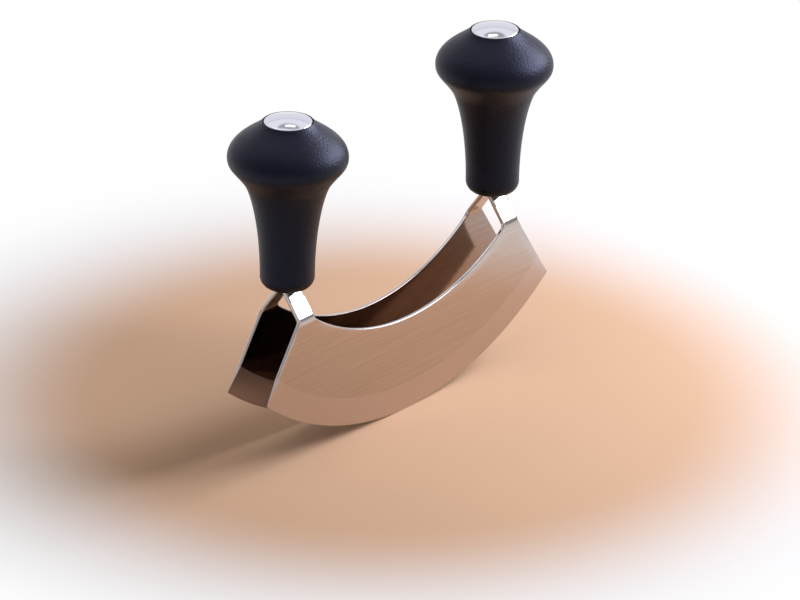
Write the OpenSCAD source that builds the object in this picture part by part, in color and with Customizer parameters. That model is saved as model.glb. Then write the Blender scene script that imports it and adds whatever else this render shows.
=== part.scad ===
// Double-blade mezzaluna: two crescent blades of bent sheet steel, held in two upright knob
// handles. X runs from the left handle to the right one, the front blade lies at -Y, and Z = 0
// is the lowest point of the two cutting edges.

/* [Blades] */
// Length of each blade from tip to tip
blade_len = 146.5; // [138:0.5:156]
// How far each tip reaches past the axis of its handle
tip_reach = 20; // [18:0.2:22]
// Height of a blade at its middle, from the cutting edge up to the arch
blade_h = 33.5; // [28:0.5:36]
// Radius of the curved cutting edge
edge_r = 118; // [112:1:130]
// Depth below the lower bend at which the arch between the handles meets the tangs
arch_drop = 0.24; // [0.04:0.1:2.04]
// Radius in the corner where the arch meets a tang
arch_corner_r = 2.5; // [1:0.5:4]
// Thickness of the steel sheet
sheet_t = 1.5; // [1.2:0.1:2]
// Clear space between the two blades
blade_gap = 14.8; // [12:0.2:16]
// Width of the ground bevel along the cutting edge
bevel_w = 9.6; // [6:0.2:12]
// Thickness left at the cutting edge
edge_t = 0.3; // [0.2:0.05:0.5]
// Depth of the light grind on the outer face
outer_grind = 0.2; // [0.1:0.05:0.3]

/* [Tangs] */
// Width of each tang
tang_w = 7.4; // [6:0.2:8]
// Height of the lower bend above the cutting edge
bend_z = 50; // [48:0.5:52]
// Lean of the tangs between their two bends, in degrees from upright
tang_lean = 36; // [32:1:40]
// Inside radius of the bends
bend_r = 1.2; // [0.8:0.1:2]
// Space between the two tangs inside a handle
tang_gap = 0.4; // [0.2:0.1:0.8]
// Space between the top of the tangs and the end of the tie screw above them
tang_top_gap = 4.5; // [3:0.5:6]

/* [Handles] */
// Height of a handle's bottom above the lower bend
handle_lift = 9.8; // [8.8:0.2:12]
// Length of a handle from its bottom to its top rim
handle_len = 58.8; // [57:0.2:63]
// Largest diameter of the knob
knob_d = 40; // [38:1:44]
// Depth of the knob's widest place below the rim
knob_drop = 12.5; // [11.5:0.1:14]
// Diameter of the top rim
rim_d = 17.2; // [17.2:0.1:18.4]
// Diameter of the neck under the knob
neck_d = 29; // [27:0.2:31]
// Depth of the neck below the rim
neck_drop = 21.4; // [20.4:0.2:22.4]
// Slope of the neck, in degrees from upright
neck_slope = 34; // [29:1:39]
// Diameter of the stem's lower end
stem_d = 18.2; // [17.6:0.2:19]
// Radius of the stem's rounded bottom edge
stem_round = 4; // [3:0.2:4.4]

/* [Handle insides] */
// Diameter of the core inside the grip
core_d = 13.2; // [12.8:0.1:13.6]
// Height of the core's rounded foot
foot_h = 3; // [2:0.25:3.5]
// Space left round whatever is pushed into a socket
socket_clear = 0.1; // [0.05:0.05:0.2]
// Space left round the tangs in the foot's wider mouth
mouth_clear = 0.3; // [0.2:0.1:0.5]
// Diameter of the cross pins
rivet_d = 3; // [2.5:0.1:3.4]
// Height of the lower cross pin above the handle's bottom
lower_rivet_h = 8.5; // [8:0.5:10]
// Depth of the upper cross pin below the top of the tangs
upper_rivet_drop = 6; // [5:0.5:8]
// Space left round a pin in its hole
pin_clear = 0.05; // [0.02:0.01:0.08]
// Thickness of the grip's web under the washer
web_t = 3.5; // [3:0.25:4.5]
// Depth of the screw well below the rim
well_drop = 15.5; // [14:0.5:16.5]
// Diameter of the screw well
well_d = 13; // [12:0.5:13.5]

/* [Fasteners] */
// Diameter of the tie screw
screw_d = 4; // [3.5:0.1:4.4]
// Length of the tie screw under its head
screw_len = 16; // [15:0.5:17]
// Diameter of the screw's head
screw_head_d = 8; // [7:0.5:9]
// Height of the screw's head
screw_head_h = 2.8; // [2.2:0.2:3.4]
// Width of the cross recess in the screw's head
driver_w = 4.4; // [3.6:0.2:5]
// Diameter of the washer
washer_d = 11; // [9.5:0.5:11.5]
// Thickness of the washer
washer_t = 1; // [0.6:0.1:1.5]
// Width of the square nut
nut_w = 7; // [6.4:0.1:7.4]
// Thickness of the square nut
nut_t = 3.2; // [2.4:0.2:3.4]

/* [Caps] */
// Diameter of the recess for the cap's plug
recess_d = 16.7; // [16.3:0.1:16.8]
// Depth of the plug's seat below the rim
seat_drop = 6; // [5:0.5:7]
// Depth of the plug's shoulder below the rim
shoulder_drop = 0.5; // [0.3:0.1:1]
// Wall of the plug
plug_t = 1.4; // [1:0.1:1.8]
// Diameter of the steel cap
cap_d = 16; // [15.4:0.1:16]
// Thickness of the steel cap
cap_t = 0.6; // [0.5:0.1:0.9]
// Height of the cap's dome
cap_dome = 1.5; // [1:0.1:2.2]

/* [Hidden] */
$fn = 96;

// How far a cut runs past the face that it opens
over = 0.5;

// Colours of the steel, the soft grip and the hard plastic inside it
steel = [0.78, 0.78, 0.79];
soft_black = [0.11, 0.11, 0.14];
hard_black = [0.08, 0.08, 0.09];

// Distance between the axes of the two handles
handle_span = blade_len - 2 * tip_reach;

// The sheet's outline, seen along Y; the arch is the arc through its middle and two corners
tip_x = blade_len / 2;
tip_z = edge_r - sqrt(edge_r * edge_r - tip_x * tip_x);
tang_out = (handle_span + tang_w) / 2;
tang_in = (handle_span - tang_w) / 2;
arch_rise = bend_z - arch_drop - blade_h;
arch_r = (tang_in * tang_in + arch_rise * arch_rise) / (2 * arch_rise);
arch_z = blade_h + arch_r;
// Where the sheet's slanted end, run on past the tip, comes down to the level below the edge
end_x = tang_out + (tip_x - tang_out) * (bend_z + over) / (bend_z - tip_z);

// The sheet's fold, seen along X: it stands upright, leans in, and stands upright again
blade_y = (blade_gap + sheet_t) / 2;
tang_y = (tang_gap + sheet_t) / 2;
upper_bend_z = bend_z + (blade_y - tang_y) / tan(tang_lean);
mid_bend_r = bend_r + sheet_t / 2;
bend_set = mid_bend_r * tan(tang_lean / 2);

// Levels in a handle, counted from its bottom
base_z = bend_z + handle_lift;
well_h = handle_len - well_drop;
web_h = well_h - web_t;
core_h = web_h - socket_clear;
head_h = well_h + washer_t;
screw_tip_h = head_h - screw_len;
seat_h = handle_len - seat_drop;
shoulder_h = handle_len - shoulder_drop;
tang_top_h = screw_tip_h - tang_top_gap;
upper_rivet_h = tang_top_h - upper_rivet_drop;
slot_h = tang_top_h + socket_clear;
nut_h = (slot_h + core_h - nut_t) / 2;

// Mouth of the tangs' slot, wide enough for the lean that is left at the handle's bottom
lean_left = max(0, upper_bend_z - base_z);
mouth_y = tang_y + lean_left * tan(tang_lean) + sheet_t / 2 / cos(tang_lean) + mouth_clear;
mouth_h = lean_left + bend_set + mouth_clear;

// Handle outline: corners of its three smooth curves, and how far each curve holds the
// direction of its ends, as a share of its height
curve_steps = 12;
arc_steps = 8;
rim_slope = 36;
rim_point = [rim_d / 2, handle_len];
knob_point = [knob_d / 2, handle_len - knob_drop];
neck_point = [neck_d / 2, handle_len - neck_drop];
stem_point = [stem_d / 2, stem_round];
rim_hold = 0.3 * knob_drop * [sin(rim_slope), -cos(rim_slope)];
knob_hold_up = 0.5 * knob_drop * [0, 1];
knob_hold_down = 0.36 * (neck_drop - knob_drop) * [0, -1];
neck_way = [-sin(neck_slope), -cos(neck_slope)];
neck_hold_up = 0.72 * (neck_drop - knob_drop) * -neck_way;
neck_hold_down = 0.1 * (handle_len - neck_drop) * neck_way;
stem_hold = 0.48 * (handle_len - neck_drop) * [0, 1];

// A point of the smooth curve from a to d, which leaves towards b and arrives from c
function curve_point(a, b, c, d, s) =
    pow(1 - s, 3) * a + 3 * s * pow(1 - s, 2) * b + 3 * s * s * (1 - s) * c + pow(s, 3) * d;
function curve(a, b, c, d) =
    [for (i = [0:curve_steps - 1]) curve_point(a, b, c, d, i / curve_steps)];
function arc(centre, r, from, to) =
    [for (i = [0:arc_steps]) let (angle = from + (to - from) * i / arc_steps)
        centre + r * [cos(angle), sin(angle)]];

// The handle's outline from its rim down to its flat bottom, as [radius, height]
handle_outline = concat(
    curve(rim_point, rim_point + rim_hold, knob_point + knob_hold_up, knob_point),
    curve(knob_point, knob_point + knob_hold_down, neck_point + neck_hold_up, neck_point),
    curve(neck_point, neck_point + neck_hold_down, stem_point + stem_hold, stem_point),
    arc([stem_d / 2 - stem_round, stem_round], stem_round, 0, -90)
);

// One face of the folded sheet, to the outer side (1) or the inner side (-1) of its middle
function fold_face(side) = concat(
    [[blade_y + side * sheet_t / 2, -over]],
    arc([blade_y - mid_bend_r, bend_z - bend_set], mid_bend_r + side * sheet_t / 2,
        0, tang_lean),
    arc([tang_y + mid_bend_r, upper_bend_z + bend_set], mid_bend_r - side * sheet_t / 2,
        180 + tang_lean, 180),
    [[tang_y + side * sheet_t / 2, base_z + tang_top_h]]
);
function backwards(list) = [for (i = [len(list) - 1:-1:0]) list[i]];

// Section of the folded sheet, as [distance from the middle plane, height]
module fold_section() {
    polygon(concat(fold_face(1), backwards(fold_face(-1))));
}

// Steel left in the right-hand corner of the arch, rounded where it meets the tang
module arch_corner() {
    mid_x = tang_in - arch_corner_r;
    mid_z = arch_z - sqrt(pow(arch_r - arch_corner_r, 2) - mid_x * mid_x);
    corner_z = arch_z - sqrt(arch_r * arch_r - tang_in * tang_in);
    touch = [0, arch_z] + [mid_x, mid_z - arch_z] * (arch_r + over) / (arch_r - arch_corner_r);
    difference() {
        polygon([[mid_x, mid_z], [tang_in + over, mid_z], [tang_in + over, corner_z - over], touch]);
        translate([mid_x, mid_z]) circle(r = arch_corner_r);
    }
}

// The opening between the tangs, down to the arch
module arch_opening() {
    difference() {
        intersection() {
            translate([0, arch_z]) circle(r = arch_r, $fn = 360);
            translate([-tang_in, 0]) square([2 * tang_in, base_z + tang_top_h + over]);
        }
        arch_corner();
        mirror([1, 0]) arch_corner();
    }
}

// The sheet's outline: a disc for the cutting edge, trimmed to the ends, tangs and arch
module sheet_outline() {
    top_z = base_z + tang_top_h + over;
    difference() {
        intersection() {
            translate([0, edge_r]) circle(r = edge_r, $fn = 360);
            polygon([
                [-end_x, -over], [-tang_out, bend_z], [-tang_out, top_z],
                [tang_out, top_z], [tang_out, bend_z], [end_x, -over]
            ]);
        }
        arch_opening();
    }
}

// A ring round the axis of the cutting edge, for grinding: from_y is the face that is ground,
// and depth the steel taken off at the edge, towards +Y or, if negative, towards -Y
module grinding_ring(from_y, depth) {
    start_r = edge_r - bevel_w;
    end_r = edge_r + over;
    end_y = from_y + depth * (end_r - start_r) / bevel_w;
    clear_y = from_y - sign(depth) * over;
    translate([0, 0, edge_r]) rotate([-90, 0, 0])
        rotate_extrude($fn = 360)
            polygon([[start_r, from_y], [end_r, end_y], [end_r, clear_y], [start_r, clear_y]]);
}

// A blade with its two tangs, on the +Y side
module blade() {
    inner_y = blade_gap / 2;
    outer_y = inner_y + sheet_t;
    difference() {
        intersection() {
            translate([-tip_x - over, 0, 0]) rotate([90, 0, 90])
                linear_extrude(height = blade_len + 2 * over) fold_section();
            translate([0, outer_y + over, 0]) rotate([90, 0, 0])
                linear_extrude(height = outer_y + over) sheet_outline();
        }
        grinding_ring(inner_y, sheet_t - edge_t - outer_grind);
        grinding_ring(outer_y, -outer_grind);
        for (x = [-1, 1] * handle_span / 2, h = [lower_rivet_h, upper_rivet_h])
            translate([x, 0, base_z + h]) rotate([-90, 0, 0])
                cylinder(r = rivet_d / 2 + pin_clear, h = outer_y, $fn = 48);
    }
}

module front_blade() {
    color(steel) mirror([0, 1, 0]) blade();
}

module rear_blade() {
    color(steel) blade();
}

// The whole outside of a handle, foot included, without its inside
module handle_body() {
    rotate_extrude() polygon(concat([[0, handle_len]], handle_outline, [[0, 0]]));
}

// The soft-touch knob handle: bored for the core below its web, and for screw and cap above
module grip() {
    bore_r = core_d / 2 + socket_clear;
    color(soft_black) difference() {
        handle_body();
        translate([0, 0, -over]) cylinder(r = knob_d, h = foot_h + over);
        translate([0, 0, foot_h - over]) cylinder(r = bore_r, h = web_h - foot_h + over);
        cylinder(r = screw_d / 2 + socket_clear, h = handle_len);
        translate([0, 0, well_h]) cylinder(r = well_d / 2, h = handle_len);
        translate([0, 0, seat_h]) cylinder(r = recess_d / 2, h = handle_len);
    }
}

// The rigid core: a foot that ends the handle, and a stem slotted for the tangs
module core() {
    slot_x = tang_w + 2 * socket_clear;
    slot_y = tang_gap + 2 * sheet_t + 2 * socket_clear;
    mouth_x = tang_w + 2 * mouth_clear;
    pocket = nut_w + 2 * socket_clear;
    pocket_h = nut_t + 2 * socket_clear;
    hole_r = screw_d / 2 + socket_clear;
    color(hard_black) difference() {
        union() {
            intersection() {
                handle_body();
                cylinder(r = stem_d, h = foot_h);
            }
            translate([0, 0, foot_h / 2]) cylinder(r = core_d / 2, h = core_h - foot_h / 2);
        }
        translate([-slot_x / 2, -slot_y / 2, -over]) cube([slot_x, slot_y, slot_h + over]);
        translate([-mouth_x / 2, -mouth_y, -over]) cube([mouth_x, 2 * mouth_y, mouth_h + over]);
        for (h = [lower_rivet_h, upper_rivet_h])
            translate([0, 0, h]) rotate([90, 0, 0])
                cylinder(r = rivet_d / 2 + pin_clear, h = 2 * core_d, center = true, $fn = 48);
        translate([-pocket / 2, -pocket / 2, nut_h - socket_clear])
            cube([pocket, pocket / 2 + core_d, pocket_h]);
        translate([0, 0, screw_tip_h - over])
            cylinder(r = hole_r, h = core_h - screw_tip_h + 2 * over, $fn = 48);
    }
}

// A cross pin through core and tangs, a little shorter than the core is thick there
module rivet(h) {
    r = rivet_d / 2;
    half = sqrt(pow(core_d / 2, 2) - r * r) - socket_clear;
    chamfer = rivet_d / 10;
    color(steel) translate([0, 0, h]) rotate([90, 0, 0])
        rotate_extrude($fn = 48)
            polygon([[0, -half], [r - chamfer, -half], [r, chamfer - half],
                [r, half - chamfer], [r - chamfer, half], [0, half]]);
}

// The square nut trapped in the core's pocket
module nut() {
    color(steel) difference() {
        translate([-nut_w / 2, -nut_w / 2, nut_h]) cube([nut_w, nut_w, nut_t]);
        translate([0, 0, nut_h - over])
            cylinder(r = screw_d / 2 + pin_clear, h = nut_t + 2 * over, $fn = 48);
    }
}

// The tie screw: a shank with a chamfered end, and a head with a straight rim, a rounded
// shoulder, a flat top and a cross recess
module screw() {
    shank_r = screw_d / 2;
    head_r = screw_head_d / 2;
    head_round = head_r / 2;
    head_rim = 0.4 * screw_head_h;
    chamfer = screw_d / 8;
    arm = driver_w / 5;
    color(steel) difference() {
        rotate_extrude($fn = 48)
            polygon(concat(
                [[0, screw_tip_h], [shank_r - chamfer, screw_tip_h],
                    [shank_r, screw_tip_h + chamfer], [shank_r, head_h], [head_r, head_h]],
                [for (i = [0:arc_steps]) let (angle = 90 * i / arc_steps)
                    [head_r - head_round * (1 - cos(angle)),
                        head_h + head_rim + (screw_head_h - head_rim) * sin(angle)]],
                [[0, head_h + screw_head_h]]
            ));
        for (turn = [0, 90])
            rotate(turn) translate([-driver_w / 2, -arm / 2, head_h + screw_head_h / 2])
                cube([driver_w, arm, screw_head_h]);
    }
}

module washer() {
    color(steel) difference() {
        translate([0, 0, well_h]) cylinder(r = washer_d / 2, h = washer_t);
        translate([0, 0, well_h - over])
            cylinder(r = screw_d / 2 + socket_clear, h = washer_t + 2 * over);
    }
}

// The dome that the cap and its plug share, lowered by a depth under the cap's outer face
module dome(depth) {
    r = cap_d / 2;
    dome_r = (r * r + cap_dome * cap_dome) / (2 * cap_dome);
    top_h = shoulder_h + cap_t + cap_dome;
    intersection() {
        translate([0, 0, top_h - dome_r]) sphere(r = dome_r - depth, $fn = 180);
        translate([0, 0, seat_h]) cylinder(r = cap_d / 2, h = handle_len);
    }
}

// The plug that fills the recess and carries the cap on its shoulder
module cap_plug() {
    r = recess_d / 2 - socket_clear;
    color(hard_black) difference() {
        union() {
            translate([0, 0, seat_h]) cylinder(r = r, h = shoulder_h - seat_h);
            dome(cap_t + pin_clear);
        }
        translate([0, 0, seat_h - over])
            cylinder(r = r - plug_t, h = shoulder_h - plug_t - seat_h + over);
    }
}

// The polished steel cap, a shallow dome that stands on the plug's shoulder
module cap() {
    color(steel) difference() {
        dome(0);
        dome(cap_t);
        translate([0, 0, seat_h - over]) cylinder(r = cap_d, h = shoulder_h - seat_h + over);
    }
}

module on_left() {
    translate([-handle_span / 2, 0, base_z]) children();
}

module on_right() {
    translate([handle_span / 2, 0, base_z]) children();
}

front_blade();
rear_blade();
on_left() grip();  // left_grip
on_left() core();  // left_core
on_left() rivet(lower_rivet_h);  // left_lower_rivet
on_left() rivet(upper_rivet_h);  // left_upper_rivet
on_left() nut();  // left_nut
on_left() screw();  // left_screw
on_left() washer();  // left_washer
on_left() cap_plug();  // left_cap_plug
on_left() cap();  // left_cap
on_right() grip();  // right_grip
on_right() core();  // right_core
on_right() rivet(lower_rivet_h);  // right_lower_rivet
on_right() rivet(upper_rivet_h);  // right_upper_rivet
on_right() nut();  // right_nut
on_right() screw();  // right_screw
on_right() washer();  // right_washer
on_right() cap_plug();  // right_cap_plug
on_right() cap();  // right_cap
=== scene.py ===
import math

import bmesh
import bpy
import numpy as np
from mathutils import Matrix, Vector


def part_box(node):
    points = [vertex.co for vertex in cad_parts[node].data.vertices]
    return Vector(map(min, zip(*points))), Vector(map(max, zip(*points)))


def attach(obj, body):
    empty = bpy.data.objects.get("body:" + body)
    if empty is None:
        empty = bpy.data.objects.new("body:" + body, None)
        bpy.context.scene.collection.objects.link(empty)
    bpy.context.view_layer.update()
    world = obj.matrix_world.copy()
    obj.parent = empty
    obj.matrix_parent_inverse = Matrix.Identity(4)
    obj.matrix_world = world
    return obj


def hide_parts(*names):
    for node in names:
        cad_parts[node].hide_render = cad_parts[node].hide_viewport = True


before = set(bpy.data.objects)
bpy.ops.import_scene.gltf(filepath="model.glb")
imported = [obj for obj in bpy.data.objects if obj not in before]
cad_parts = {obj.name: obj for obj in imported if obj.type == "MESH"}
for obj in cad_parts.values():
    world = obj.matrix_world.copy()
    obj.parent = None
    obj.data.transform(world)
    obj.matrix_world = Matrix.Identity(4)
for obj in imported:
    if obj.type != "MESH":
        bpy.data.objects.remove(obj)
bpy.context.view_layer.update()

# Double-blade mezzaluna: two polished crescent blades in two soft-touch knob handles.
# Lengths are in millimetres until a mesh, a light or the camera is made.
mm = 0.001
print("frame loaded")


# Meshes

def meshFromGrids(name, grids):
    # Each grid is rows by columns of points. Every cell becomes a quad, and points that grids
    # share are merged, which closes the skin; then all faces are turned outwards.
    starts = np.cumsum([0] + [grid.shape[0] * grid.shape[1] for grid in grids])
    quads = []
    for grid, start in zip(grids, starts):
        index = start + np.arange(grid.shape[0] * grid.shape[1]).reshape(grid.shape[:2])
        corners = [index[:-1, :-1], index[:-1, 1:], index[1:, 1:], index[1:, :-1]]
        quads.append(np.stack(corners, axis=-1).reshape(-1, 4))
    points = np.concatenate([grid.reshape(-1, 3) for grid in grids]) * mm
    mesh = bpy.data.meshes.new(name)
    mesh.from_pydata(points.tolist(), [], np.concatenate(quads).tolist())
    return closeSkin(mesh, mergeDistance=0.001 * mm)


def closeSkin(mesh, mergeDistance, creaseAngle=180):
    # Merges doubled points, turns the faces outwards and shades smoothly across every edge
    # that folds by less than the crease angle.
    work = bmesh.new()
    work.from_mesh(mesh)
    bmesh.ops.remove_doubles(work, verts=work.verts, dist=mergeDistance)
    bmesh.ops.dissolve_degenerate(work, dist=mergeDistance / 10, edges=work.edges)
    bmesh.ops.recalc_face_normals(work, faces=work.faces)
    for edge in work.edges:
        edge.smooth = edge.calc_face_angle(0) < math.radians(creaseAngle)
    work.to_mesh(mesh)
    work.free()
    mesh.polygons.foreach_set("use_smooth", np.ones(len(mesh.polygons), bool))
    mesh.update()
    return mesh


def placePiece(mesh, material, node):
    # The new mesh takes the place of a CAD node, on the same body
    piece = bpy.data.objects.new(mesh.name, mesh)
    bpy.context.scene.collection.objects.link(piece)
    mesh.materials.clear()
    mesh.materials.append(material)
    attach(piece, "root")
    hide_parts(node)


def smoothStep(t):
    # Eases from 0 to 1: three times the square less twice the cube
    t = np.clip(t, 0, 1)
    return t * t * (3 - 2 * t)


def cosineSteps(count):
    # Runs from 0 to 1 as half a cosine wave, so steps are fine at both ends
    return (1 - np.cos(np.pi * np.arange(count + 1) / count)) / 2


def alongLine(start, end, shares):
    # Points at the given shares of the straight way from start to end
    return np.array(start) + np.outer(shares, np.array(end) - np.array(start))


def arcPoints(centre, radius, angles):
    # Circle points at the given angles in degrees, counted from the first axis
    turn = np.radians(angles)
    return np.array(centre) + radius * np.stack([np.cos(turn), np.sin(turn)], axis=-1)


def bezierCurve(a, b, c, d, steps):
    # Cubic curve from a to d that leaves towards b and arrives from c: the four points are
    # weighted by the terms of (1 - s) plus s, cubed
    s = np.linspace(0, 1, steps + 1)[:, None]
    a, b, c, d = (np.array(point, float) for point in (a, b, c, d))
    return (1 - s) ** 3 * a + 3 * s * (1 - s) ** 2 * b + 3 * s * s * (1 - s) * c + s ** 3 * d


def revolve(profile, centreX, steps):
    # Turns a profile of (radius, height) round the upright axis at centreX: each radius times the
    # cosine and the sine of the turn
    turn = np.linspace(0, 2 * np.pi, steps + 1)[None, :]
    radius, height = profile[:, :1], profile[:, 1:]
    grid = np.stack([centreX + radius * np.cos(turn), radius * np.sin(turn),
                     height + 0 * turn], axis=-1)
    grid[:, -1] = grid[:, 0]
    return grid


# Blades: one flat outline for both, folded, ground and polished

bladeBox = [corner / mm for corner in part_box("rear_blade")]
gripBox = [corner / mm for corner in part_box("right_grip")]
bladeSheet = dict(
    tip=bladeBox[1].x,                            # half the length, tip to tip
    top=bladeBox[1].z,                            # top of the tangs, inside the handles
    tangMiddle=(gripBox[0].x + gripBox[1].x) / 2,  # handle axis
    tangWidth=7.4,
    thickness=1.5,
    edgeRadius=118.0,     # curve of the cutting edge
    archMiddle=33.5,      # height of the arch half way between the handles
    archDrop=0.24,        # how far below the bend the arch meets a tang
    archCorner=2.5,       # radius in that corner
    bend=50.0,            # height of the lower bend
    lean=36.0,            # degrees
    bendSpread=4.4,       # length of sheet that takes up each bend
    tangShift=0.95,       # from the middle plane to the middle of an upright tang
    bevel=9.6,            # width of the ground band
    innerGrind=1.18,      # steel taken off the inner face at the cutting edge
    outerGrind=0.2,
    edgeRound=0.5,        # how far in from its border the sheet starts to round over
    roundShare=0.6,       # but at most this share of the thickness that the grind leaves
    edgePower=4.0,        # 2 is a round border, higher is squarer
    outerBuff=0.3,        # buffing wears the faces down towards their borders
    innerBuff=0.08,
    buffWidth=3.4,
    buffMiddle=0.3,       # share of it that is left half way between the handles
    buffFade=4.0,         # it fades out over this distance below the bend
    ripple=0.006,         # unevenness of the pressed sheet
    rippleLengths=(7.3, 17.0, 5.1, 23.0),
)
bladeSheet["middle"] = bladeBox[1].y - bladeSheet["thickness"] / 2
bladeSheet["spare"] = 1.2 * bladeSheet["top"]    # more flat sheet than the folds take up
bladeSteps = dict(base=14, fillet=8, arch=130, bevel=14, side=34, shoulder=4, tang=56, border=14,
                  fold=8000, measure=4000)


def foldSheet(flat):
    # The lean angle eases from 0 to the full lean round the lower bend and back to 0 round the
    # upper one; y and z are the running sums of its sine and cosine up the flat sheet.
    s = bladeSheet
    run = np.linspace(0, s["spare"], bladeSteps["fold"])
    lean = math.radians(s["lean"])
    upper = s["bend"] + (s["middle"] - s["tangShift"]) / math.sin(lean)
    angle = lean * (smoothStep((run - s["bend"]) / s["bendSpread"] + 0.5)
                    - smoothStep((run - upper) / s["bendSpread"] + 0.5))
    step = run[1]
    y = s["middle"] - (np.cumsum(np.sin(angle)) - np.sin(angle) / 2) * step
    z = (np.cumsum(np.cos(angle)) - np.cos(angle) / 2) * step - step / 2
    return [np.interp(flat, run, values) for values in (y, z, angle)]


def flatLength():
    # Length of flat sheet that reaches the top of the tangs once it is folded
    run = np.linspace(0, bladeSheet["spare"], bladeSteps["measure"])
    return float(np.interp(bladeSheet["top"], foldSheet(run)[1], run))


def archCircle():
    # Height of the centre and radius of the arc through the arch's middle and its two corners. The
    # radius is the squares of half the span and of the rise, added, over twice the rise.
    s = bladeSheet
    half = s["tangMiddle"] - s["tangWidth"] / 2
    rise = s["bend"] - s["archDrop"] - s["archMiddle"]
    radius = (half ** 2 + rise ** 2) / (2 * rise)
    return s["archMiddle"] + radius, radius


def faceDepth(x, flat, side):
    # How far a face lies below the full sheet: the grind grows evenly from its upper line to just
    # past the cutting edge. The buffing grows with the square of the nearness to a border and with
    # the square of the way from the middle, and fades out down the ground band and up to the bend.
    # The ripple is a product of two sine waves.
    s = bladeSheet
    across = np.hypot(x, s["edgeRadius"] - flat) - (s["edgeRadius"] - s["bevel"])
    grind = s["outerGrind"] if side > 0 else s["innerGrind"]
    buff = s["outerBuff"] if side > 0 else s["innerBuff"]
    buff = buff * np.clip(1 - across / s["bevel"], 0, 1)
    buff = buff * np.clip((s["bend"] - flat) / s["buffFade"], 0, 1)
    away = np.clip(x / s["tangMiddle"], -1, 1) ** 2
    buff = buff * (s["buffMiddle"] + (1 - s["buffMiddle"]) * away)
    depth = grind * np.clip(across / s["bevel"], 0, 1.05)
    # Distances from the border along the arch and inside the tangs, and from that along the ends
    archCentre, archRadius = archCircle()
    outside = np.abs(x)
    inner = np.hypot(np.maximum(np.hypot(x, archCentre - flat) - archRadius, 0),
                     np.maximum(outside - s["tangMiddle"] + s["tangWidth"] / 2, 0))
    tipFlat = s["edgeRadius"] - math.sqrt(s["edgeRadius"] ** 2 - s["tip"] ** 2)
    shoulder = s["tangMiddle"] + s["tangWidth"] / 2
    along = np.array([shoulder - s["tip"], s["bend"] - tipFlat])
    along = along / np.linalg.norm(along)
    toEnd = (s["tip"] - outside) * along[1] + (flat - tipFlat) * along[0]
    outer = np.maximum(toEnd, shoulder - outside)
    for distance in (inner, outer):
        depth = depth + buff * np.clip(1 - distance / s["buffWidth"], 0, 1) ** 2
    a, b, c, d = s["rippleLengths"]
    ripple = np.sin(x / a + flat / b) * np.sin(flat / c - x / d + side)
    return depth + s["ripple"] * (1 + ripple)


def facePoints(x, flat, side):
    # Points of the outer (1) or inner (-1) face over places of the flat sheet: the folded middle of
    # the sheet, plus half the thickness less the face's depth, square to it
    y, z, angle = foldSheet(flat)
    out = side * (bladeSheet["thickness"] / 2 - faceDepth(x, flat, side))
    return np.stack([x, y + out * np.cos(angle), z + out * np.sin(angle)], axis=-1)


def topLine():
    # From the left tang's outer side to the right tang's: tang, corner, arch, corner, tang. A
    # corner's circle touches the tang and the arch, so its middle is one corner radius from both.
    s, n = bladeSheet, bladeSteps
    centre, radius = archCircle()
    tangIn = s["tangMiddle"] - s["tangWidth"] / 2
    cornerX = tangIn - s["archCorner"]
    base = centre - math.sqrt((radius - s["archCorner"]) ** 2 - cornerX ** 2)
    reach = math.degrees(math.atan2(cornerX, centre - base))
    corner = arcPoints([cornerX, base], s["archCorner"], np.linspace(reach - 90, 0, n["fillet"] + 1))
    arch = arcPoints([0, centre], radius, np.linspace(-90 - reach, reach - 90, n["arch"] + 1))
    tang = alongLine([tangIn, base], [tangIn + s["tangWidth"], base], cosineSteps(n["base"]))
    flip = np.array([-1, 1])
    return [(tang * flip)[::-1], (corner * flip)[::-1], arch, corner, tang]


def joinLines(lines):
    # One line from several that meet end to end, each shared point kept once
    return np.concatenate([lines[0]] + [line[1:] for line in lines[1:]])


def bladeOutline():
    # The border walked once round, as stretches that meet end to end: cutting edge, right end,
    # right tang, arch, left tang, left end.
    s, n = bladeSheet, bladeSteps
    top = joinLines(topLine())
    steps = np.hypot(*np.diff(top, axis=0).T)
    share = np.concatenate([[0], np.cumsum(steps)]) / steps.sum()
    reach = math.degrees(math.asin(s["tip"] / s["edgeRadius"]))
    edge = arcPoints([0, s["edgeRadius"]], s["edgeRadius"], -90 + reach * (2 * share - 1))
    tip, shoulder = edge[-1], np.array([s["tangMiddle"] + s["tangWidth"] / 2, s["bend"]])
    way = (shoulder - tip) / np.linalg.norm(shoulder - tip)
    back = tip - np.array([0, s["edgeRadius"]])
    inner = s["edgeRadius"] - s["bevel"]
    cross = -way @ back - math.sqrt((way @ back) ** 2 - back @ back + inner ** 2)
    grindEnd = tip + way * cross
    base = topLine()[4][0][1]
    bevelSide = alongLine(tip, grindEnd, cosineSteps(n["bevel"]))
    upperSide = joinLines([
        alongLine(grindEnd, shoulder, cosineSteps(n["side"])),
        alongLine(shoulder, [shoulder[0], base], np.linspace(0, 1, n["shoulder"] + 1))])
    rise = np.linspace(0, 1, n["tang"] + 1)
    tangOut = alongLine([shoulder[0], base], [shoulder[0], flatLength()], rise)
    tangTop = alongLine(tangOut[-1], tangOut[-1] - [s["tangWidth"], 0], cosineSteps(n["base"]))
    tangIn = (tangOut - [s["tangWidth"], 0])[::-1]
    arch = joinLines(topLine()[1:4])[::-1]
    flip = np.array([-1, 1])
    rightSide = [bevelSide, upperSide, tangOut, tangTop, tangIn]
    return [edge] + rightSide + [arch] + [(line * flip)[::-1] for line in rightSide[::-1]], share


def insetLoop(loop, depth):
    # Moves each point of the closed border inwards along the bisector of its two sides
    ahead = np.roll(loop, -1, axis=0) - loop
    normal = np.stack([-ahead[:, 1], ahead[:, 0]], axis=-1)
    normal = normal / np.linalg.norm(normal, axis=1, keepdims=True)
    before = np.roll(normal, 1, axis=0)
    bisector = (normal + before) / (1 + np.sum(normal * before, axis=1, keepdims=True))
    return loop + bisector * depth[:, None]


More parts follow.
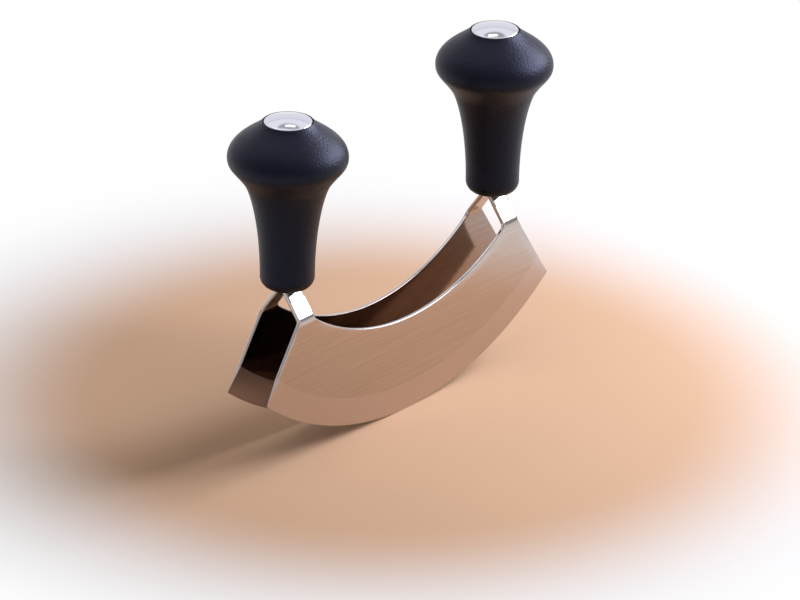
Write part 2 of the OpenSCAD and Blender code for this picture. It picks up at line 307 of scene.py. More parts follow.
def coonsPatch(bottom, top, left, right, across):
    # Fills four border lines: each row blends bottom into top, and the sides' own bulge is added
    steps = np.hypot(*np.diff(right, axis=0).T)
    up = (np.concatenate([[0], np.cumsum(steps)]) / steps.sum())[:, None, None]
    across = across[None, :, None]
    rows = (1 - up) * bottom[None] + up * top[None]
    sides = (1 - across) * left[:, None] + across * right[:, None]
    corners = ((1 - up) * ((1 - across) * bottom[0] + across * bottom[-1])
               + up * ((1 - across) * top[0] + across * top[-1]))
    return rows + sides - corners


def bladeGrids():
    # A strip rounds the border, and on each face four patches fill the outline inside it: ground
    # band, flat and two tangs. All are laid out on the flat sheet and then folded.
    s, n = bladeSheet, bladeSteps
    stretches, share = bladeOutline()
    loop = np.concatenate([line[:-1] for line in stretches])
    ends = np.cumsum([0] + [len(line) - 1 for line in stretches])
    left = s["thickness"] - faceDepth(*loop.T, 1) - faceDepth(*loop.T, -1)
    rounding = np.minimum(s["edgeRound"], s["roundShare"] * left)
    # The border's section is a superellipse that runs from the outer face round to the inner
    turn = np.pi * np.arange(n["border"] + 1) / n["border"]
    deep = np.abs(np.sin(turn)) ** (2 / s["edgePower"])
    level = np.sign(np.cos(turn)) * np.abs(np.cos(turn)) ** (2 / s["edgePower"])
    strip = []
    for depth, height in zip(deep, level):
        ring = insetLoop(loop, rounding * (1 - depth))
        ring = np.concatenate([ring, ring[:1]])
        strip.append((1 + height) / 2 * facePoints(*ring.T, 1)
                     + (1 - height) / 2 * facePoints(*ring.T, -1))
    grids = [np.array(strip)]
    inset = insetLoop(loop, rounding)
    inset = np.concatenate([inset, inset[:1]])
    (edge, bevelRight, sideRight, outRight, topRight, inRight, arch,
     inLeft, topLeft, outLeft, sideLeft, bevelLeft) = [
        inset[start:end + 1] for start, end in zip(ends[:-1], ends[1:])]
    reach = [math.atan2(line[-1][0], s["edgeRadius"] - line[-1][1])
             for line in (bevelRight, bevelLeft[::-1])]
    grindAngles = np.degrees(reach[1] + (reach[0] - reach[1]) * share) - 90
    grindLine = arcPoints([0, s["edgeRadius"]], s["edgeRadius"] - s["bevel"], grindAngles)
    grindLine[0], grindLine[-1] = bevelLeft[0], bevelRight[-1]
    baseRight = alongLine(inRight[-1], outRight[0], cosineSteps(n["base"]))
    baseLeft = alongLine(outLeft[-1], inLeft[0], cosineSteps(n["base"]))
    top = joinLines([baseLeft, arch[::-1], baseRight])
    patches = [
        coonsPatch(edge, grindLine, bevelLeft[::-1], bevelRight, share),
        coonsPatch(grindLine, top, sideLeft[::-1], sideRight, share),
        coonsPatch(baseRight, topRight[::-1], inRight[::-1], outRight, cosineSteps(n["base"])),
        coonsPatch(baseLeft, topLeft[::-1], outLeft[::-1], inLeft, cosineSteps(n["base"])),
    ]
    for patch in patches:
        for side in (1, -1):
            points = facePoints(patch[..., 0].ravel(), patch[..., 1].ravel(), side)
            grids.append(points.reshape(patch.shape[:2] + (3,)))
    return grids


# Handles

gripShape = dict(
    axis=bladeSheet["tangMiddle"],
    bottom=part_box("right_core")[0].z / mm,
    length=(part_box("right_grip")[1].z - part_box("right_core")[0].z) / mm,
    knobRadius=20.0, neckRadius=14.5, stemRadius=9.1,
    knobDrop=12.5, neckDrop=21.4,      # depths below the rim
    rimSlope=36.0, neckSlope=34.0,     # degrees off upright
    # How far each curve holds the direction of its ends, as a share of its height
    rimHold=0.3, knobHoldUp=0.5, knobHoldDown=0.36, neckHoldUp=0.72, neckHoldDown=0.1,
    stemHold=0.48,
    stemRound=4.0,        # radius where the stem turns in at the bottom
    lip=0.125,            # radius of the thin lip round the cap
    footHeight=3.0,       # the core's foot closes the handle below the grip
    seam=0.1,             # softened edge where the grip meets that foot
    # The inside: bore, web, screw well and cap recess, with depths below the rim
    boreRadius=6.7, webBottomDrop=19.0, webTopDrop=15.5, screwHole=2.1, wellRadius=6.5,
    seatDrop=6.0, recessRadius=8.35,
    turns=192,
    # Steps of the profile's curves, from the rim down
    lipSteps=6, crownSteps=40, bellySteps=30, shaftSteps=48, footSteps=4,
)


def gripProfile():
    # The outside is three cubic curves, rim to knob, knob to neck and neck to stem, and an arc to
    # the bottom; the inside steps through the bore, the web, the screw well and the cap's recess.
    g = gripShape
    length = g["length"]
    knob = np.array([g["knobRadius"], length - g["knobDrop"]])
    neck = np.array([g["neckRadius"], length - g["neckDrop"]])
    stem = np.array([g["stemRadius"], g["stemRound"]])
    lip = arcPoints([g["recessRadius"] + g["lip"], length - g["lip"]], g["lip"],
                    np.linspace(180, g["rimSlope"], g["lipSteps"] + 1))
    rim = lip[-1]
    slope, fall = math.radians(g["rimSlope"]), math.radians(g["neckSlope"])
    under = g["neckDrop"] - g["knobDrop"]
    rimWay = g["knobDrop"] * np.array([math.sin(slope), -math.cos(slope)])
    neckWay = np.array([-math.sin(fall), -math.cos(fall)])
    upright = np.array([0, 1])
    crown = bezierCurve(rim, rim + g["rimHold"] * rimWay,
                        knob + g["knobHoldUp"] * g["knobDrop"] * upright, knob, g["crownSteps"])
    belly = bezierCurve(knob, knob - g["knobHoldDown"] * under * upright,
                        neck - g["neckHoldUp"] * under * neckWay, neck, g["bellySteps"])
    shaft = bezierCurve(neck, neck + g["neckHoldDown"] * neck[1] * neckWay,
                        stem + g["stemHold"] * neck[1] * upright, stem, g["shaftSteps"])
    centre = [g["stemRadius"] - g["stemRound"], g["stemRound"]]
    cutDrop = g["stemRound"] - g["footHeight"] - g["seam"]
    cutAngle = -math.degrees(math.asin(cutDrop / g["stemRound"]))
    turnIn = arcPoints(centre, g["stemRound"], np.linspace(0, cutAngle, g["footSteps"] + 1))
    cutX = turnIn[-1][0]
    seam = arcPoints([cutX - g["seam"], g["footHeight"] + g["seam"]], g["seam"],
                     np.linspace(0, -90, g["footSteps"] + 1))
    webBottom, webTop, seat = (length - g[key] for key in ("webBottomDrop", "webTopDrop", "seatDrop"))
    inside = [
        [g["boreRadius"], g["footHeight"]], [g["boreRadius"], webBottom],
        [g["screwHole"], webBottom], [g["screwHole"], webTop],
        [g["wellRadius"], webTop], [g["wellRadius"], seat],
        [g["recessRadius"], seat], [g["recessRadius"], length - g["lip"]],
    ]
    outside = joinLines([lip, crown, belly, shaft, turnIn])
    return np.concatenate([outside, seam[1:], np.array(inside)]) + [0, g["bottom"]]


capShape = dict(
    radius=8.0, thickness=0.6, edgeHeight=0.6, dome=1.5,
    shoulder=gripShape["length"] - 0.5,    # height in the handle at which it stands on its plug
    roll=0.45,                             # radius of its rolled border
    turns=144, domeSteps=39, rollSteps=9, innerSteps=23,
)


def capProfile():
    # Outer dome from its middle out to a rolled border, then back in along the inner dome. The
    # sphere's radius is the squares of the cap's radius and height, added, over twice the height.
    c = capShape
    sphere = (c["radius"] ** 2 + c["dome"] ** 2) / (2 * c["dome"])
    top = c["shoulder"] + c["edgeHeight"] + c["dome"]
    centre = top - sphere
    # The rolled border touches the dome from inside and the cap's upright wall
    rollX = c["radius"] - c["roll"]
    rollZ = centre + math.sqrt((sphere - c["roll"]) ** 2 - rollX ** 2)
    touch = math.degrees(math.atan2(rollZ - centre, rollX))
    dome = arcPoints([0, centre], sphere, np.linspace(90, touch, c["domeSteps"] + 1))
    dome[0, 0] = 0
    roll = arcPoints([rollX, rollZ], c["roll"], np.linspace(touch, 0, c["rollSteps"] + 1))
    innerRadius = sphere - c["thickness"]
    low = math.degrees(math.asin((c["shoulder"] - centre) / innerRadius))
    inner = arcPoints([0, centre], innerRadius, np.linspace(low, 90, c["innerSteps"] + 1))
    inner[-1, 0] = 0
    wall = np.array([[c["radius"], c["shoulder"]]])
    return np.concatenate([dome, roll[1:], wall, inner]) + [0, gripShape["bottom"]]


# Materials

def linear(hexColour):
    # sRGB hex to the linear colour that a shader takes
    parts = np.array([int(hexColour[at:at + 2], 16) for at in (1, 3, 5)]) / 255
    parts = np.where(parts <= 0.04045, parts / 12.92, ((parts + 0.055) / 1.055) ** 2.4)
    return (*parts.tolist(), 1.0)


def addNode(tree, kind, inputs=None, **settings):
    # Adds a node, sets its properties, and links or sets each named or numbered input
    node = tree.nodes.new("ShaderNode" + kind)
    for name, value in settings.items():
        setattr(node, name, value)
    for key, value in (inputs or {}).items():
        if isinstance(value, bpy.types.NodeSocket):
            tree.links.new(value, node.inputs[key])
        else:
            node.inputs[key].default_value = value
    return node


def startMaterial(name):
    # An empty material, and the object's own coordinates in millimetres for its patterns
    material = bpy.data.materials.new(name)
    material.use_nodes = True
    tree = material.node_tree
    tree.nodes.clear()
    place = addNode(tree, "TexCoord").outputs["Object"]
    millimetres = addNode(tree, "VectorMath", {0: place, "Scale": 1 / mm}, operation="SCALE")
    return material, tree, millimetres.outputs[0]


def closeMaterial(tree, inputs):
    # Sends the finished inputs through one Principled shader
    shader = addNode(tree, "BsdfPrincipled", inputs)
    addNode(tree, "OutputMaterial", {0: shader.outputs[0]})


bladeSteel = dict(
    colour="#C2B9B2", streakColour="#B5AAA2", roughness=0.08, streakRoughness=0.045,
    streakLength=45.0, streakWidth=0.45, streakHeight=0.0002,
    bevelColour="#C6BBB6", bevelRoughness=0.22, innerRoughness=0.46,
    paintedInnerShade="#D2C8C2",      # painted shade: the inner faces are darkened by this below the bend, as shade falls between the two blades
    shadeStart=-0.6, shadeFull=-0.85,    # where that starts and is full, from 1 outside to -1 inside
    shadeAboveBend=0.5, shadeBelowBend=1.5,
    satinBlend=0.15,           # how near the middle the coarser grind gives way to the finer one
    groundBlend=0.1,           # half the width of the line where the ground band starts
    lineWidth=0.3, lineHeight=0.0005, lineSlowness=0.12, lineUnevenness=0.12,
)


def makeBladeSteel():
    # Polished stainless sheet: mirror-like, with faint streaks along the blade from the polishing
    # belt, and a satin ground band whose fine lines run square to the cutting edge
    s = bladeSteel
    material, tree, place = startMaterial("polishedStainlessSheet")
    parts = addNode(tree, "SeparateXYZ", {0: place}).outputs
    # Belt streaks: noise drawn out along X; real ones are finer, these are as fine as shows
    belt = addNode(tree, "VectorMath", {0: place, 1: (1 / s["streakLength"], 1 / s["streakWidth"],
                                                      1 / s["streakWidth"])}, operation="MULTIPLY")
    streaks = addNode(tree, "TexNoise", {"Vector": belt.outputs[0], "Scale": 1.0, "Detail": 3.0,
                                         "Roughness": 0.6}).outputs["Fac"]
    # Ground band, by the distance from the axis of the cutting edge
    down = addNode(tree, "Math", {0: bladeSheet["edgeRadius"], 1: parts[2]}, operation="SUBTRACT")
    flatPlace = addNode(tree, "CombineXYZ", {0: parts[0], 1: down.outputs[0]})
    radius = addNode(tree, "VectorMath", {0: flatPlace.outputs[0]}, operation="LENGTH")
    lineStart = bladeSheet["edgeRadius"] - bladeSheet["bevel"]
    ground = addNode(tree, "MapRange", {"Value": radius.outputs["Value"],
                                        "From Min": lineStart - s["groundBlend"],
                                        "From Max": lineStart + s["groundBlend"]}).outputs[0]
    angle = addNode(tree, "Math", {0: parts[0], 1: down.outputs[0]}, operation="ARCTAN2")
    around = addNode(tree, "Math", {0: angle.outputs[0],
                                    1: bladeSheet["edgeRadius"] / s["lineWidth"]}, operation="MULTIPLY")
    slow = addNode(tree, "Math", {0: radius.outputs["Value"], 1: s["lineSlowness"]},
                   operation="MULTIPLY")
    linePlace = addNode(tree, "CombineXYZ", {0: around.outputs[0], 1: slow.outputs[0], 2: parts[1]})
    lines = addNode(tree, "TexNoise", {"Vector": linePlace.outputs[0], "Scale": 1.0, "Detail": 2.0,
                                       "Roughness": 0.55}).outputs["Fac"]
    # The inner face is ground much deeper than the outer one, and is left coarser. The grinding
    # shifts the middle of the sheet outwards; across runs from -1 at the inner face to 1 at the
    # outer one.
    halfSheet = bladeSheet["thickness"] / 2
    halfInner, halfOuter = bladeSheet["innerGrind"] / 2, bladeSheet["outerGrind"] / 2
    bandEnds = {"Value": radius.outputs["Value"], "From Min": lineStart,
                "From Max": bladeSheet["edgeRadius"]}
    middle = addNode(tree, "MapRange", {**bandEnds, "To Min": bladeSheet["middle"],
                                        "To Max": bladeSheet["middle"] + halfInner - halfOuter})
    half = addNode(tree, "MapRange", {**bandEnds, "To Min": halfSheet,
                                      "To Max": halfSheet - halfInner - halfOuter})
    outward = addNode(tree, "Math", {0: parts[1]}, operation="ABSOLUTE")
    fromMiddle = addNode(tree, "Math", {0: outward.outputs[0], 1: middle.outputs[0]},
                         operation="SUBTRACT")
    across = addNode(tree, "Math", {0: fromMiddle.outputs[0], 1: half.outputs[0]}, operation="DIVIDE")
    inner = addNode(tree, "MapRange", {"Value": across.outputs[0], "From Min": s["satinBlend"],
                                       "From Max": -s["satinBlend"]})
    # Painted shade: the inner faces are darkened below the bend, where shade falls between the two
    # blades
    innerFace = addNode(tree, "MapRange", {"Value": across.outputs[0], "From Min": s["shadeStart"],
                                           "From Max": s["shadeFull"]})
    belowBend = addNode(tree, "MapRange", {"Value": parts[2],
                                           "From Min": bladeSheet["bend"] + s["shadeAboveBend"],
                                           "From Max": bladeSheet["bend"] - s["shadeBelowBend"]})
    paintedShade = addNode(tree, "Math", {0: innerFace.outputs[0], 1: belowBend.outputs[0]},
                   operation="MULTIPLY")
    satin = addNode(tree, "MapRange", {"Value": inner.outputs[0], "To Min": s["bevelRoughness"],
                                       "To Max": s["innerRoughness"]})
    # Finish: roughness, tint and height each change over from belt streaks to grind lines
    beltRough = addNode(tree, "MapRange", {"Value": streaks, "From Min": 0.3, "From Max": 0.8,
                                           "To Min": s["roughness"],
                                           "To Max": s["roughness"] + s["streakRoughness"]})
    lineRough = addNode(tree, "MapRange", {"Value": lines, "From Min": 0.3, "From Max": 0.7,
                                           "To Min": 1 - s["lineUnevenness"],
                                           "To Max": 1 + s["lineUnevenness"]})
    groundRough = addNode(tree, "Math", {0: satin.outputs[0], 1: lineRough.outputs[0]},
                          operation="MULTIPLY")
    rough = addNode(tree, "Mix", {0: ground, 2: beltRough.outputs[0], 3: groundRough.outputs[0]})
    streakShare = addNode(tree, "MapRange", {"Value": streaks, "From Min": 0.35, "From Max": 0.75})
    beltTint = addNode(tree, "Mix", {0: streakShare.outputs[0], 6: linear(s["colour"]),
                                     7: linear(s["streakColour"])}, data_type="RGBA")
    outerTint = addNode(tree, "Mix", {0: ground, 6: beltTint.outputs[2],
                                      7: linear(s["bevelColour"])}, data_type="RGBA")
    # The painted shade darkens the tint of the inner faces below the bend
    tint = addNode(tree, "Mix", {0: paintedShade.outputs[0], 6: outerTint.outputs[2],
                                 7: linear(s["paintedInnerShade"])}, data_type="RGBA",
                   blend_type="MULTIPLY")
    beltBump = addNode(tree, "Bump", {"Height": streaks, "Distance": s["streakHeight"] * mm,
                                      "Strength": 1.0})
    lineHeight = addNode(tree, "Math", {0: lines, 1: ground}, operation="MULTIPLY")
    bump = addNode(tree, "Bump", {"Height": lineHeight.outputs[0], "Strength": 1.0,
                                  "Distance": s["lineHeight"] * mm, "Normal": beltBump.outputs[0]})
    closeMaterial(tree, {"Base Color": tint.outputs[2], "Metallic": 1.0,
                         "Roughness": rough.outputs[0], "Normal": bump.outputs[0]})
    return material


capSteel = dict(colour="#DADADD", smoothest=0.07, roughest=0.12, ringWidth=0.35, ringHeight=0.0006)


def makeCapSteel():
    # Pressed stainless dome, polished on a spindle: pale, with very faint rings round its middle
    c = capSteel
    material, tree, place = startMaterial("spunPolishedStainless")
    parts = addNode(tree, "SeparateXYZ", {0: place}).outputs
    outward = addNode(tree, "Math", {0: parts[0]}, operation="ABSOLUTE")
    fromAxis = addNode(tree, "Math", {0: outward.outputs[0], 1: gripShape["axis"]},
                       operation="SUBTRACT")
    flatPlace = addNode(tree, "CombineXYZ", {0: fromAxis.outputs[0], 1: parts[1]})
    radius = addNode(tree, "VectorMath", {0: flatPlace.outputs[0]}, operation="LENGTH")
    ringPlace = addNode(tree, "Math", {0: radius.outputs["Value"], 1: 1 / c["ringWidth"]},
                        operation="MULTIPLY")
    rings = addNode(tree, "TexNoise", {"W": ringPlace.outputs[0], "Scale": 1.0, "Detail": 2.0},
                    noise_dimensions="1D").outputs["Fac"]
    rough = addNode(tree, "MapRange", {"Value": rings, "From Min": 0.3, "From Max": 0.7,
                                       "To Min": c["smoothest"], "To Max": c["roughest"]})
    bump = addNode(tree, "Bump", {"Height": rings, "Strength": 1.0,
                                  "Distance": c["ringHeight"] * mm})
    closeMaterial(tree, {"Base Color": linear(c["colour"]), "Metallic": 1.0,
                         "Roughness": rough.outputs[0], "Normal": bump.outputs[0]})
    return material


softTouch = dict(
    colour="#040406", wornColour="#08090D", smoothest=0.38, roughest=0.47,
    ior=1.5, specular=0.29, specularTint="#C8CEFF",
    grain=0.8, grainHeight=0.07, fineGrain=0.25, fineHeight=0.012, patch=9.0,
)


def makeSoftTouch():
    # Soft-touch thermoplastic rubber moulded over a rigid core: a matt black skin with a pebbled
    # spark-eroded grain, which breaks the light up into a bluish-grey shimmer
    g = softTouch
    material, tree, place = startMaterial("softTouchRubber")
    # Pebbles: the real ones are about 0.3 mm across; they are drawn coarser so that they show
    pebbles = addNode(tree, "TexVoronoi", {"Vector": place, "Scale": 1 / g["grain"],
                                           "Smoothness": 0.6, "Randomness": 0.9},
                      feature="SMOOTH_F1").outputs["Distance"]
    fine = addNode(tree, "TexNoise", {"Vector": place, "Scale": 1 / g["fineGrain"],
                                      "Detail": 2.0}).outputs["Fac"]
    patches = addNode(tree, "TexNoise", {"Vector": place, "Scale": 1 / g["patch"],
                                         "Detail": 3.0}).outputs["Fac"]
    coarseBump = addNode(tree, "Bump", {"Height": pebbles, "Strength": 1.0,
                                        "Distance": g["grainHeight"] * mm}, invert=True)
    bump = addNode(tree, "Bump", {"Height": fine, "Strength": 1.0, "Normal": coarseBump.outputs[0],
                                  "Distance": g["fineHeight"] * mm})
    tint = addNode(tree, "Mix", {0: pebbles, 6: linear(g["wornColour"]), 7: linear(g["colour"])},
                   data_type="RGBA")
    rough = addNode(tree, "MapRange", {"Value": patches, "From Min": 0.3, "From Max": 0.7,
                                       "To Min": g["smoothest"], "To Max": g["roughest"]})
    closeMaterial(tree, {"Base Color": tint.outputs[2], "Roughness": rough.outputs[0],
                         "IOR": g["ior"], "Specular IOR Level": g["specular"],
                         "Specular Tint": linear(g["specularTint"]), "Normal": bump.outputs[0]})
    return material


hardPlastic = dict(darkColour="#0C0C10", paleColour="#121217", smoothest=0.4, roughest=0.52,
                   ior=1.53, specular=0.18, mottle=0.8, mottleHeight=0.01)


def makeHardPlastic():
    # Glass-filled nylon of the core and the cap's plug: moulded black, satin, faintly mottled
    h = hardPlastic
    material, tree, place = startMaterial("mouldedNylon")
    mottle = addNode(tree, "TexNoise", {"Vector": place, "Scale": 1 / h["mottle"],
                                        "Detail": 3.0}).outputs["Fac"]
    rough = addNode(tree, "MapRange", {"Value": mottle, "To Min": h["smoothest"],
                                       "To Max": h["roughest"]})
    tint = addNode(tree, "Mix", {0: mottle, 6: linear(h["darkColour"]), 7: linear(h["paleColour"])},
                   data_type="RGBA")
    bump = addNode(tree, "Bump", {"Height": mottle, "Strength": 1.0,
                                  "Distance": h["mottleHeight"] * mm})
    closeMaterial(tree, {"Base Color": tint.outputs[2], "Roughness": rough.outputs[0],
                         "IOR": h["ior"], "Specular IOR Level": h["specular"],
                         "Normal": bump.outputs[0]})
    return material


fastenerSteel = dict(darkColour="#B4B5B8", paleColour="#CCCCCB", smoothest=0.22, roughest=0.42,
                     mottle=1.5, mottleHeight=0.004)


def makeFastenerSteel():
    # Turned steel with a bright zinc plate, for the pins, screws, nuts and washers: softly mottled
    f = fastenerSteel
    material, tree, place = startMaterial("zincPlatedSteel")
    mottle = addNode(tree, "TexNoise", {"Vector": place, "Scale": 1 / f["mottle"],
                                        "Detail": 4.0}).outputs["Fac"]
    rough = addNode(tree, "MapRange", {"Value": mottle, "To Min": f["smoothest"],
                                       "To Max": f["roughest"]})
    tint = addNode(tree, "Mix", {0: mottle, 6: linear(f["darkColour"]), 7: linear(f["paleColour"])},
                   data_type="RGBA")
    bump = addNode(tree, "Bump", {"Height": mottle, "Strength": 1.0,
                                  "Distance": f["mottleHeight"] * mm})
    closeMaterial(tree, {"Base Color": tint.outputs[2], "Metallic": 1.0,
                         "Roughness": rough.outputs[0], "Normal": bump.outputs[0]})
    return material


steelFinish, capFinish, gripFinish = makeBladeSteel(), makeCapSteel(), makeSoftTouch()
plasticFinish, fastenerFinish = makeHardPlastic(), makeFastenerSteel()
print("materials made")

# Pieces

rearGrids = bladeGrids()
for name, flip in (("rear_blade", 1), ("front_blade", -1)):
    blade = meshFromGrids(name + "_polished", [grid * [1, flip, 1] for grid in rearGrids])
    placePiece(blade, steelFinish, name)
print("blades made")

gripSection = gripProfile()
gripSection = np.concatenate([gripSection, gripSection[:1]])
for side, axis in (("left", -gripShape["axis"]), ("right", gripShape["axis"])):
    grip = meshFromGrids(side + "_grip_moulded", [revolve(gripSection, axis, gripShape["turns"])])
    placePiece(grip, gripFinish, side + "_grip")
    cap = meshFromGrids(side + "_cap_pressed", [revolve(capProfile(), axis, capShape["turns"])])
    placePiece(cap, capFinish, side + "_cap")
    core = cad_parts[side + "_core"].data.copy()
    core.name = side + "_core_moulded"
    closeSkin(core, mergeDistance=0.002 * mm, creaseAngle=28)
    placePiece(core, plasticFinish, side + "_core")
print("handles made")

for name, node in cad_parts.items():
    finish = plasticFinish if name.endswith("plug") else fastenerFinish
    if not node.material_slots:
        node.data.materials.append(finish)
    for materialSlot in node.material_slots:
        materialSlot.link = "OBJECT"
        materialSlot.material = finish
print("hidden pieces dressed")

# Floor, light and camera

studio = dict(
    floorColour="#E2B893", warmRadius=98.0, fadeWidth=115.0, floorSize=6000.0,
    white="#FFFFFF", skyColour="#F4F5FF", skyLevel=0.33, mirrorLevel=1.14,
    # The sky's brightness is 1 on the lit side. The bearing counts from +X towards +Y in degrees,
    # the fade is between two cosines of the angle to it, and heights are sines.
    sideShade=0.5, litBearing=20.0, sideFade=(-0.9, 0.5),
    backdropShade=0.9, backdropTop=0.5, topFade=0.02,
    seamShade=0.72, seamWidth=0.035,    # dark line along the top of the backdrop
    # Grey flags, one behind the tool and one in front of it: bearing, height, where each one
    # starts and where it is full, in degrees from its middle, and its brightness
    flags=[(39.7, 58.0, 14.0, 10.0, 0.45), (-39.0, 8.0, 14.0, 8.0, 0.45)],
    # Lamps: name, bearing and height, distance, width and height in metres, watts, colour
    lamps=[("keyBox", (-30.0, 32.5), 0.5, 0.39, 0.29, 3.75, "#ECEEFF"),
           ("topBox", (110.0, 78.0), 1.1, 0.9, 0.9, 1.3, "#FFFFFF"),
           ("backStrip", (39.7, 56.5), 1.1, 0.18, 0.07, 0.17, "#FFFFFF")],
    lampAim=60.0,         # height of the point that the lamps look at
)


def makeFloor():
    # Plain matt paper, warm and pale under the tool, which fades to white round it
    material, tree, place = startMaterial("palePaper")
    reach = addNode(tree, "VectorMath", {0: place}, operation="LENGTH")
    fade = addNode(tree, "MapRange", {"Value": reach.outputs["Value"],
                                      "From Min": studio["warmRadius"],
                                      "From Max": studio["warmRadius"] + studio["fadeWidth"]},
                   interpolation_type="SMOOTHSTEP")
    tint = addNode(tree, "Mix", {0: fade.outputs[0], 6: linear(studio["floorColour"]),
                                 7: linear(studio["white"])}, data_type="RGBA")
    shader = addNode(tree, "BsdfPrincipled", {"Base Color": tint.outputs[2], "Roughness": 0.9,
                                              "Specular IOR Level": 0.1})
    # Far out, the camera and polished steel see plain white in its place
    path = addNode(tree, "LightPath").outputs
    seen = addNode(tree, "Math", {0: path["Is Camera Ray"], 1: path["Is Glossy Ray"]},
                   operation="MAXIMUM")
    seen = addNode(tree, "Math", {0: seen.outputs[0], 1: path["Is Transmission Ray"]},
                   operation="MAXIMUM")
    share = addNode(tree, "Math", {0: seen.outputs[0], 1: fade.outputs[0]}, operation="MULTIPLY")
    glow = addNode(tree, "Emission", {"Color": linear(studio["white"]), "Strength": 1.0})
    mixed = addNode(tree, "MixShader", {0: share.outputs[0], 1: shader.outputs[0], 2: glow.outputs[0]})
    addNode(tree, "OutputMaterial", {0: mixed.outputs[0]})
    half = studio["floorSize"] / 2 * mm
    mesh = bpy.data.meshes.new("floor")
    mesh.from_pydata([(-half, -half, 0), (half, -half, 0), (half, half, 0), (-half, half, 0)], [],
                     [(0, 1, 2, 3)])
    mesh.materials.append(material)
    floor = bpy.data.objects.new("floor", mesh)
    bpy.context.scene.collection.objects.link(floor)


def compassWay(towards):
    # Direction from a compass bearing, counted from +X towards +Y, and a height, in degrees
    bearing, rise = (math.radians(angle) for angle in towards)
    return (math.cos(rise) * math.cos(bearing), math.cos(rise) * math.sin(bearing), math.sin(rise))


def makeWorld():
    # White to the camera. Polished steel sees a white studio that dims to the left, with a backdrop
    # and two flags, and everything else is lit softly by the same sky at a lower level.
    world = bpy.data.worlds.new("studio")
    bpy.context.scene.world = world
    world.use_nodes = True
    tree = world.node_tree
    tree.nodes.clear()
    path = addNode(tree, "LightPath").outputs
    glossy = addNode(tree, "Math", {0: path["Is Glossy Ray"], 1: path["Is Transmission Ray"]},
                     operation="MAXIMUM")
    way = addNode(tree, "TexCoord").outputs["Generated"]
    side = addNode(tree, "VectorMath", {0: way, 1: compassWay((studio["litBearing"], 0))},
                   operation="DOT_PRODUCT")
    lit = addNode(tree, "MapRange", {"Value": side.outputs["Value"],
                                     "From Min": studio["sideFade"][0],
                                     "From Max": studio["sideFade"][1],
                                     "To Min": studio["sideShade"]}, interpolation_type="SMOOTHSTEP")
    height = addNode(tree, "SeparateXYZ", {0: way}).outputs[2]
    factors = []
    for bearing, rise, outer, inner, shade in studio["flags"]:
        nearness = addNode(tree, "VectorMath", {0: way, 1: compassWay((bearing, rise))},
                           operation="DOT_PRODUCT")
        factors.append(addNode(tree, "MapRange", {
            "Value": nearness.outputs["Value"], "From Min": math.cos(math.radians(outer)),
            "From Max": math.cos(math.radians(inner)), "To Min": 1.0, "To Max": shade},
            interpolation_type="SMOOTHSTEP"))
    above = addNode(tree, "Math", {0: height, 1: studio["backdropTop"]}, operation="SUBTRACT")
    low = addNode(tree, "MapRange", {"Value": above.outputs[0], "From Min": -studio["topFade"],
                                     "From Max": studio["topFade"],
                                     "To Min": studio["backdropShade"]})
    fromSeam = addNode(tree, "Math", {0: above.outputs[0]}, operation="ABSOLUTE")
    seam = addNode(tree, "MapRange", {"Value": fromSeam.outputs[0], "From Max": studio["seamWidth"],
                                      "To Min": studio["seamShade"]})
    level = lit
    for factor in factors + [low, seam]:
        level = addNode(tree, "Math", {0: level.outputs[0], 1: factor.outputs[0]},
                        operation="MULTIPLY")
    strength = addNode(tree, "MapRange", {"Value": glossy.outputs[0], "To Min": studio["skyLevel"],
                                          "To Max": studio["mirrorLevel"]})
    skyStrength = addNode(tree, "Math", {0: level.outputs[0], 1: strength.outputs[0]},
                          operation="MULTIPLY")
    sky = addNode(tree, "Background", {"Color": linear(studio["skyColour"]),
                                       "Strength": skyStrength.outputs[0]})
    white = addNode(tree, "Background", {"Color": linear(studio["white"]), "Strength": 1.0})
    mixed = addNode(tree, "MixShader", {0: path["Is Camera Ray"], 1: sky.outputs[0],
                                        2: white.outputs[0]})
    addNode(tree, "OutputWorld", {0: mixed.outputs[0]})


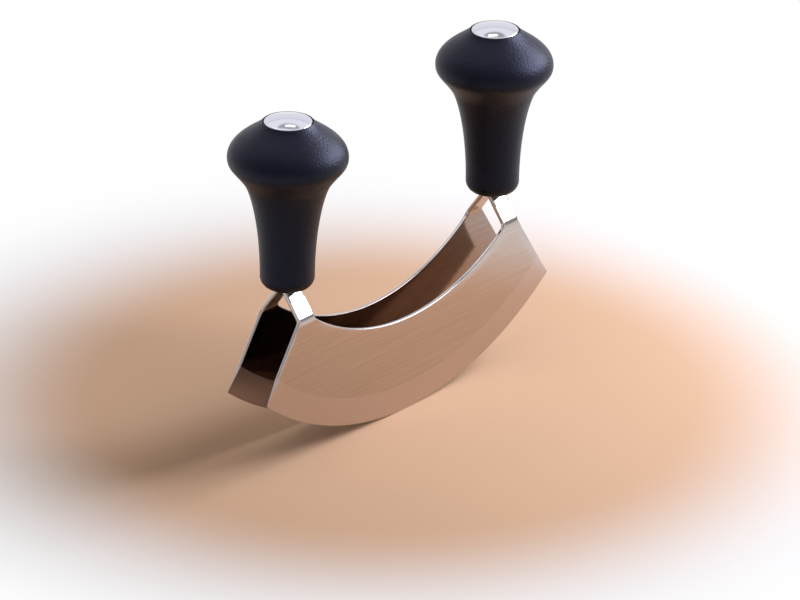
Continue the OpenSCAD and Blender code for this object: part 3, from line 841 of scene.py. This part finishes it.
def addSoftbox(name, towards, distance, width, height, watts, colour):
    # A rectangle of light that looks at the middle of the tool from a bearing and a height
    way = Vector(compassWay(towards))
    light = bpy.data.lights.new(name, "AREA")
    light.shape = "RECTANGLE"
    light.size, light.size_y = width, height
    light.energy = watts
    light.color = linear(colour)[:3]
    lamp = bpy.data.objects.new(name, light)
    lamp.location = way * distance + Vector((0, 0, studio["lampAim"] * mm))
    lamp.rotation_euler = way.to_track_quat("Z", "Y").to_euler()
    bpy.context.scene.collection.objects.link(lamp)


cameraView = dict(
    azimuth=-50.28, elevation=24.18, roll=0.69,   # degrees
    focalPixels=7000.0,                           # distance of the picture plane, in pixels
    originPixel=(389.5, 399.27),                  # where the frame's origin shows
    pixelsPerMm=2.957,
    frame=(800, 600),
    sensorWidth=36.0,
)


def makeCamera():
    # Looks down the given direction, and stands aside from it by as much as puts the origin of the
    # frame on its pixel
    v = cameraView
    azimuth, elevation, roll = (math.radians(v[key]) for key in ("azimuth", "elevation", "roll"))
    flat = math.cos(elevation)
    back = Vector((math.sin(azimuth) * flat, -math.cos(azimuth) * flat, math.sin(elevation)))
    right = Vector((math.cos(azimuth), math.sin(azimuth), 0))
    up = back.cross(right)
    turnedRight = math.cos(roll) * right + math.sin(roll) * up
    turnedUp = math.cos(roll) * up - math.sin(roll) * right
    distance = v["focalPixels"] / v["pixelsPerMm"] * mm
    aside = [(pixel - size / 2) / v["focalPixels"] * distance
             for pixel, size in zip(v["originPixel"], v["frame"])]
    place = back * distance - turnedRight * aside[0] + turnedUp * aside[1]
    data = bpy.data.cameras.new("camera")
    data.sensor_width = v["sensorWidth"]
    data.lens = v["focalPixels"] / v["frame"][0] * data.sensor_width
    camera = bpy.data.objects.new("camera", data)
    turn = Matrix((turnedRight, turnedUp, back)).transposed()
    camera.matrix_world = Matrix.Translation(place) @ turn.to_4x4()
    bpy.context.scene.collection.objects.link(camera)
    bpy.context.scene.camera = camera


makeFloor()
makeWorld()
for lampSettings in studio["lamps"]:
    addSoftbox(*lampSettings)
makeCamera()
bpy.context.scene.view_settings.view_transform = "Standard"
print("studio set")
